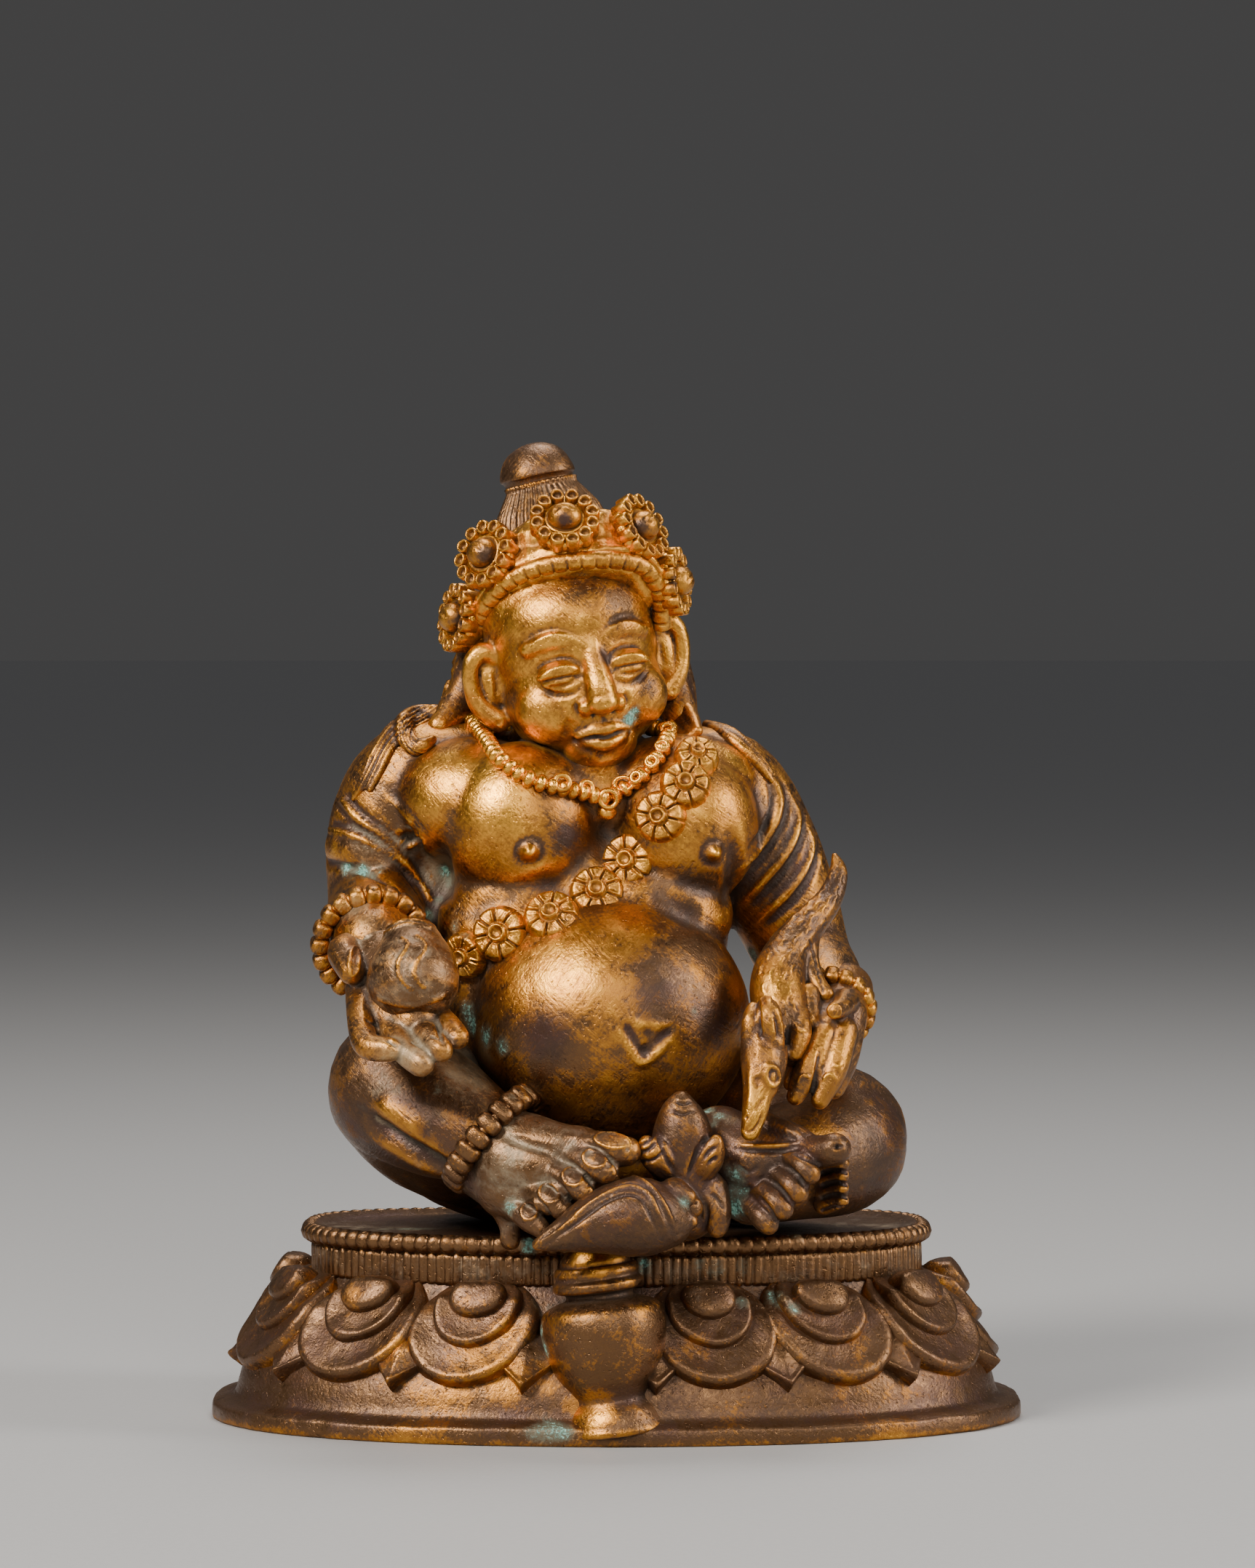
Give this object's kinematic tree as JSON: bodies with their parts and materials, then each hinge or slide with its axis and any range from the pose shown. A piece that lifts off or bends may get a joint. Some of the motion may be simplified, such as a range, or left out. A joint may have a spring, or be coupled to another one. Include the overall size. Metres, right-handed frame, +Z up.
{
  "type": "seated deity statue",
  "caption": "Pot-bellied seated treasure deity cast in worn gilt copper, holding a fruit and a mongoose, one foot on a conch, on a lotus petal base with a treasure vase.",
  "frame": {"origin": "middle of the flat underside of the lotus base, under the axis of the base's outline", "axes": "+Z up; the figure faces -Y; +X to the viewer's right, which is the figure's left"},
  "size_m": [0.125, 0.0775, 0.1495],
  "materials": {
    "gilt_copper": "worn fire gilding over brown copper, satin, verdigris in the recesses"
  },
  "bodies": {
    "root": {"jambhala_statue": "gilt_copper"}
  },
  "joints": []
}
